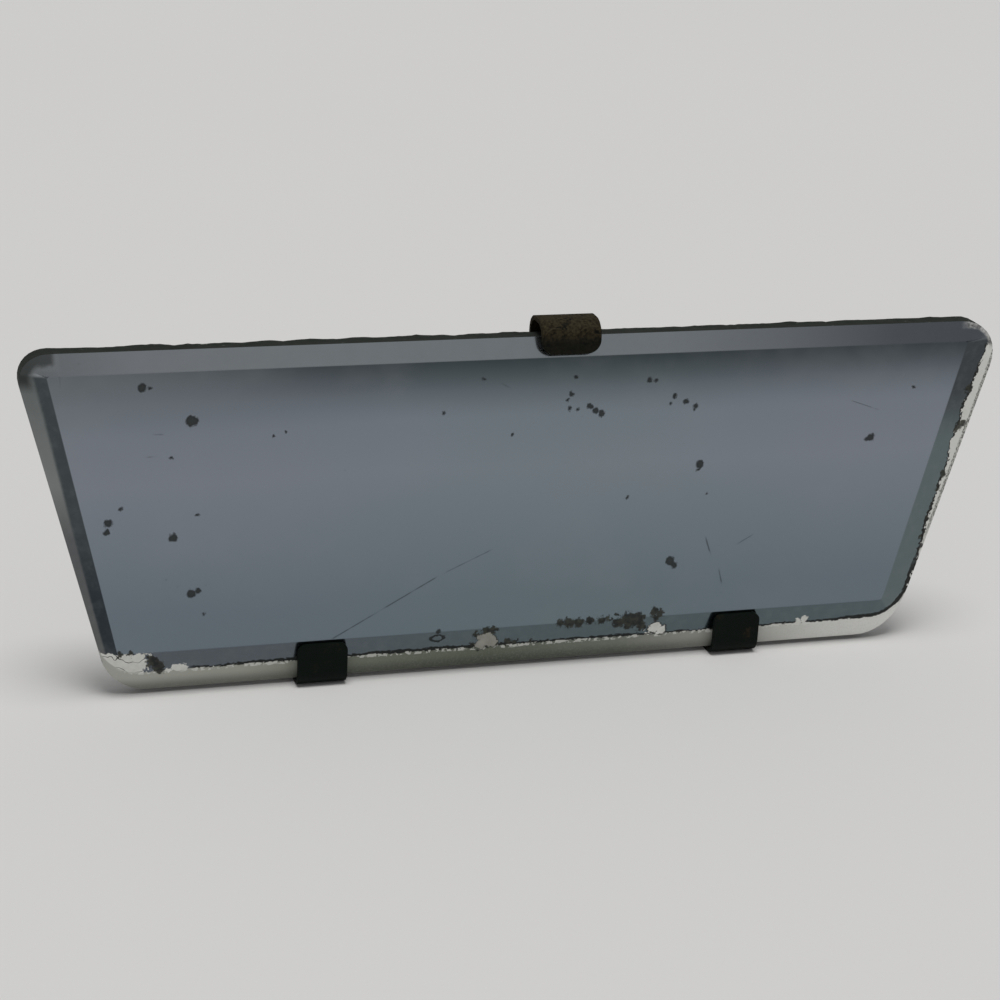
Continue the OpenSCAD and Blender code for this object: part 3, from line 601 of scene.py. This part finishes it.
def silverFinish():
    # worn silver whose tones also carry painted reflection and painted shade
    finish = Finish("wornSilveringPaintedReflection", Specular_IOR_Level=0.28)
    edge = edgeWires(finish)
    grain = silverGrain(finish, edge["x"], edge["z"])
    field = fieldTone(finish, edge["x"], edge["z"])
    silver = withFacets(finish, field, edge, grain)
    silver, lowBare, beyond = withLowRim(finish, silver, edge, grain)
    silver, rightBare = withRightEnd(finish, silver, edge, grain)
    silver, cornerBare = withTopCorners(finish, silver, edge, grain)
    silver, dull, scratches = withMarks(finish, silver, edge, grain, beyond)
    dust = finish.grains(420).rise(0.10, 0.04) * finish.noise(60, 2).rise(0.52, 0.66)
    finish.feed("Base Color", finish.blend(dust * 0.35, silver, silverTones["dust"]))

    # where the silver has gone it is neither a metal nor smooth
    bare = lowBare.atLeast(rightBare).atLeast(cornerBare).atLeast(dull)
    finish.feed("Metallic", 0.96 - bare * 0.96)
    haze = finish.noise(90, 3) * 0.06
    finish.feed("Roughness", 0.13 + haze + bare * 0.45)
    finish.bump(grain["fine"] * 0.2 - dull * 0.4 - scratches * 0.3, 0.12, 0.05)
    return finish


def rimFinish():
    # ground edge of the glass: black-green paint left on top, greenish clear glass elsewhere
    finish = Finish("groundRim", Specular_IOR_Level=0.15)
    z = finish.along("Z")
    coarse = finish.noise(520, 5, 0.65)
    fine = finish.noise(2400, 4, 0.6)
    paint = finish.blend(coarse, (0.006, 0.009, 0.007), (0.030, 0.035, 0.028))
    chips = (coarse + fine * 0.4).rise(0.88, 0.94)
    bare = finish.blend(fine, (0.12, 0.13, 0.11), (0.30, 0.31, 0.28))
    painted = finish.blend(chips, paint, bare)
    glassy = finish.blend(coarse.rise(0.3, 0.7), (0.07, 0.08, 0.065), (0.20, 0.205, 0.185))
    onTop = (z + coarse * 2).rise(62, 68)
    finish.feed("Base Color", finish.blend(onTop, glassy, painted))
    finish.feed("Roughness", 0.62 + coarse * 0.3)
    finish.bump(coarse + fine * 0.5, 0.7, 0.25)
    return finish


def backingFinish():
    # grey-green protective paint on the back of the silver
    finish = Finish("backingPaint")
    coarse = finish.noise(60, 4, 0.6)
    fine = finish.noise(900, 4, 0.6)
    base = finish.blend(coarse, (0.16, 0.17, 0.15), (0.24, 0.24, 0.21))
    scuffed = (coarse * 0.5 + fine * 0.6).rise(0.66, 0.72)
    finish.feed("Base Color", finish.blend(scuffed, base, (0.05, 0.055, 0.05)))
    finish.feed("Roughness", 0.62 + fine * 0.2)
    finish.bump(fine, 0.4, 0.08)
    return finish


def onRim(centre, normal):
    # the ground edge, and all that is nibbled off it at the top, whichever way that faces
    low = (glassBox[1].z - glassCut["nibbleZone"]) * mm
    return abs(normal.y) <= glassCut["rimLean"] or centre.z > low and centre.y > (rimY + 0.02) * mm


def dressGlass():
    for finish in (silverFinish(), rimFinish(), backingFinish()):
        glass.data.materials.append(finish.material)
    bpy.context.view_layer.objects.active = glass
    # silver in front, its paint behind, and last the rim, which takes its faces from both
    for slot, test in ((0, lambda c, n: n.y < 0), (2, lambda c, n: n.y > 0), (1, onRim)):
        pick(glass, "FACE", test)
        glass.active_material_index = slot
        bpy.ops.object.material_slot_assign()
    bpy.ops.object.mode_set(mode="OBJECT")
    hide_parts("mirror_glass")
    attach(glass, "head")


dressGlass()
print("glass dressed")


# metal and rubber finishes of the parts that keep their shape

def rustyPaint(name, paint, rust, rusted, rough, flake, shine=0.5, above=None):
    # baked enamel over steel; rusted says how much of it has gone, flake the depth of its crust,
    # above the height over which it has rusted most; there the rust is also a painted highlight on the lit top,
    # and below it is darker
    finish = Finish(name, Specular_IOR_Level=shine)
    coarse = finish.noise(260, 6, 0.68)
    fine = finish.noise(1800, 5, 0.65)
    pits = finish.grains(900)
    worn = (coarse + (fine - 0.5) * 0.35).rise(0.62 - rusted * 0.4, 0.74 - rusted * 0.4)
    # rust gathered above, also a painted highlight on the lit top; darker below
    if above is not None:
        worn = worn * (0.2 + finish.along("Z").rise(above - 1.5, above + 1) * 0.8)
    light = finish.blend(fine.rise(0.32, 0.68), [c * 0.45 for c in rust], [min(c * 1.5, 1) for c in rust])
    dark = finish.blend(coarse, [c * 0.7 for c in paint], [c * 1.35 for c in paint])
    finish.feed("Base Color", finish.blend(worn, dark, light))
    finish.feed("Roughness", rough + worn * (0.88 - rough) + (fine - 0.5) * 0.15)
    finish.bump(worn * 0.5 + fine * 0.35 + pits.rise(0.1, 0.5) * 0.25, 0.8, flake)
    return finish


def plainMetal(name, light, dark, metal, rough, grain):
    # turned, plated or cast metal with dull patches and fine pits
    finish = Finish(name)
    coarse = finish.noise(180, 4, 0.6)
    fine = finish.noise(2200, 4, 0.6)
    stained = (coarse + fine * 0.25).rise(0.52, 0.78)
    finish.feed("Base Color", finish.blend(stained, light, dark))
    finish.feed("Metallic", metal - stained * metal * 0.45)
    finish.feed("Roughness", rough + stained * 0.25 + (fine - 0.5) * 0.1)
    finish.bump(fine * 0.6 + coarse * 0.4, 0.5, grain)
    return finish


def fibreFinish(name, light, dark, scale, depth, rough):
    # felt, pressed fibre and rubber: soft mottling and a fine nap
    finish = Finish(name)
    nap = finish.noise(scale, 6, 0.75)
    mottle = finish.noise(scale / 12, 3, 0.5)
    finish.feed("Base Color", finish.blend(nap * 0.6 + mottle * 0.4, dark, light))
    finish.feed("Roughness", rough + (nap - 0.5) * 0.12)
    finish.bump(nap, 0.7, depth)
    return finish


partFinishes = {
    # the top clip: real rust, partly a painted highlight on its top
    "top_clip": rustyPaint("rustyClipPaintedHighlight", (0.004, 0.005, 0.004), (0.031, 0.025, 0.014), 0.72, 0.72, 0.2,
                           shine=0.08, above=71.0),
    "lower_clip_left": rustyPaint("enamelClipLeft", (0.003, 0.006, 0.004), (0.016, 0.013, 0.008),
                                  0.05, 0.55, 0.08, shine=0.08),
    "lower_clip_right": rustyPaint("enamelClipRight", (0.003, 0.006, 0.004), (0.018, 0.014, 0.009),
                                   0.14, 0.55, 0.10, shine=0.08),
    "back_plate": rustyPaint("enamelPlate", (0.020, 0.028, 0.024), (0.12, 0.055, 0.025), 0.12, 0.36, 0.07),
    "socket_base": rustyPaint("enamelSocket", (0.022, 0.024, 0.023), (0.13, 0.06, 0.03), 0.10, 0.38, 0.06),
    "socket_cover": rustyPaint("enamelCover", (0.024, 0.026, 0.025), (0.13, 0.06, 0.03), 0.08, 0.36, 0.06),
    "foot_bracket": rustyPaint("castFoot", (0.045, 0.047, 0.044), (0.14, 0.07, 0.035), 0.06, 0.45, 0.16),
    "clip_rivets": plainMetal("clipRivetSteel", (0.36, 0.33, 0.30), (0.12, 0.07, 0.045), 0.9, 0.40, 0.05),
    "socket_rivets": plainMetal("socketRivetSteel", (0.38, 0.36, 0.33), (0.13, 0.08, 0.05), 0.9, 0.38, 0.05),
    "disc_springs": plainMetal("springSteel", (0.26, 0.27, 0.29), (0.09, 0.08, 0.07), 0.95, 0.32, 0.03),
    "cover_lock_washers": plainMetal("lockSteel", (0.30, 0.30, 0.31), (0.11, 0.09, 0.07), 0.95, 0.36, 0.04),
    "stud_lock_washer": plainMetal("studLockSteel", (0.29, 0.29, 0.30), (0.11, 0.09, 0.07), 0.95, 0.36, 0.04),
    "cover_screws": plainMetal("screwZinc", (0.56, 0.54, 0.49), (0.25, 0.21, 0.15), 0.95, 0.33, 0.03),
    "cover_nuts": plainMetal("nutZinc", (0.55, 0.53, 0.48), (0.24, 0.20, 0.15), 0.95, 0.34, 0.03),
    "stud_nut": plainMetal("studNutZinc", (0.54, 0.53, 0.48), (0.22, 0.19, 0.14), 0.95, 0.33, 0.04),
    "stud_washer": plainMetal("washerZinc", (0.55, 0.54, 0.50), (0.25, 0.22, 0.17), 0.95, 0.35, 0.03),
    "ball_stud": plainMetal("turnedStud", (0.60, 0.59, 0.56), (0.28, 0.25, 0.21), 0.97, 0.24, 0.02),
    "pressure_cup": plainMetal("turnedBrass", (0.62, 0.47, 0.20), (0.26, 0.18, 0.08), 0.95, 0.30, 0.02),
    "backing_felt": fibreFinish("darkFelt", (0.055, 0.050, 0.043), (0.018, 0.017, 0.015), 2400, 0.25, 0.95),
    "ball_liner": fibreFinish("pressedFibre", (0.24, 0.12, 0.055), (0.09, 0.045, 0.022), 1300, 0.06, 0.6),
    "foot_rubber": fibreFinish("mattRubber", (0.030, 0.030, 0.031), (0.014, 0.014, 0.015), 1500, 0.05, 0.8),
}
for name, finish in partFinishes.items():
    shell = cadNodes[name]
    shell.data.materials.clear()
    shell.data.materials.append(finish.material)
print("parts dressed:", len(partFinishes))


# floor, light and camera

room = {
    "floorSize": 8, "floorColour": (0.745, 0.735, 0.718),
    "skyColour": (0.97, 0.98, 1.0), "skyStrength": 0.30,
    "ceilingPower": 1.8, "ceilingSpread": 25,
    "ceilingTilt": (10, 1),                  # degrees towards the front and the left
}


def buildRoom():
    dropSelection()
    bpy.ops.mesh.primitive_plane_add(size=room["floorSize"], location=(0, 0, 0))
    floor = bpy.context.object
    floor.name = "paleFloor"
    finish = Finish("paleFloor", Roughness=0.7)
    cloudy = finish.noise(3, 3, 0.5)
    finish.feed("Base Color", finish.blend(cloudy * 0.35, room["floorColour"],
                                           [c * 0.94 for c in room["floorColour"]]))
    floor.data.materials.append(finish.material)

    world = bpy.data.worlds.new("softSky")
    bpy.context.scene.world = world
    world.use_nodes = True
    sky = world.node_tree.nodes["Background"]
    sky.inputs["Color"].default_value = (*room["skyColour"], 1)
    sky.inputs["Strength"].default_value = room["skyStrength"]

    # a wide, soft ceiling light, a little in front of the mirror
    bpy.ops.object.light_add(type="SUN", location=(0, 0, 1.5))
    ceiling = bpy.context.object
    ceiling.name = "ceilingLight"
    ceiling.data.energy = room["ceilingPower"]
    ceiling.data.angle = math.radians(room["ceilingSpread"])
    front, left = (math.radians(a) for a in room["ceilingTilt"])
    ceiling.rotation_euler = (front, -left, 0)
    bpy.context.scene.view_settings.view_transform = "Standard"


viewpoint = {
    "place": (-0.1349, -0.4555, 0.20175),
    "turn": 17.28, "dip": 21.15, "roll": 3.17,    # degrees right, down and anticlockwise
    "lens": 82.8, "sensor": 36, "nearest": 0.01,  # lens and sensor in millimetres, nearest sight in metres
}


def buildCamera():
    bpy.ops.object.camera_add()
    camera = bpy.context.object
    camera.name = "studioCamera"
    camera.data.lens = viewpoint["lens"]
    camera.data.sensor_width = viewpoint["sensor"]
    camera.data.clip_start = viewpoint["nearest"]
    turn, dip, roll = (math.radians(viewpoint[k]) for k in ("turn", "dip", "roll"))
    camera.matrix_world = (Matrix.Translation(viewpoint["place"]) @ Matrix.Rotation(-turn, 4, "Z")
                           @ Matrix.Rotation(math.pi / 2 - dip, 4, "X") @ Matrix.Rotation(roll, 4, "Z"))
    bpy.context.scene.camera = camera


buildRoom()
buildCamera()
print("room and camera placed")
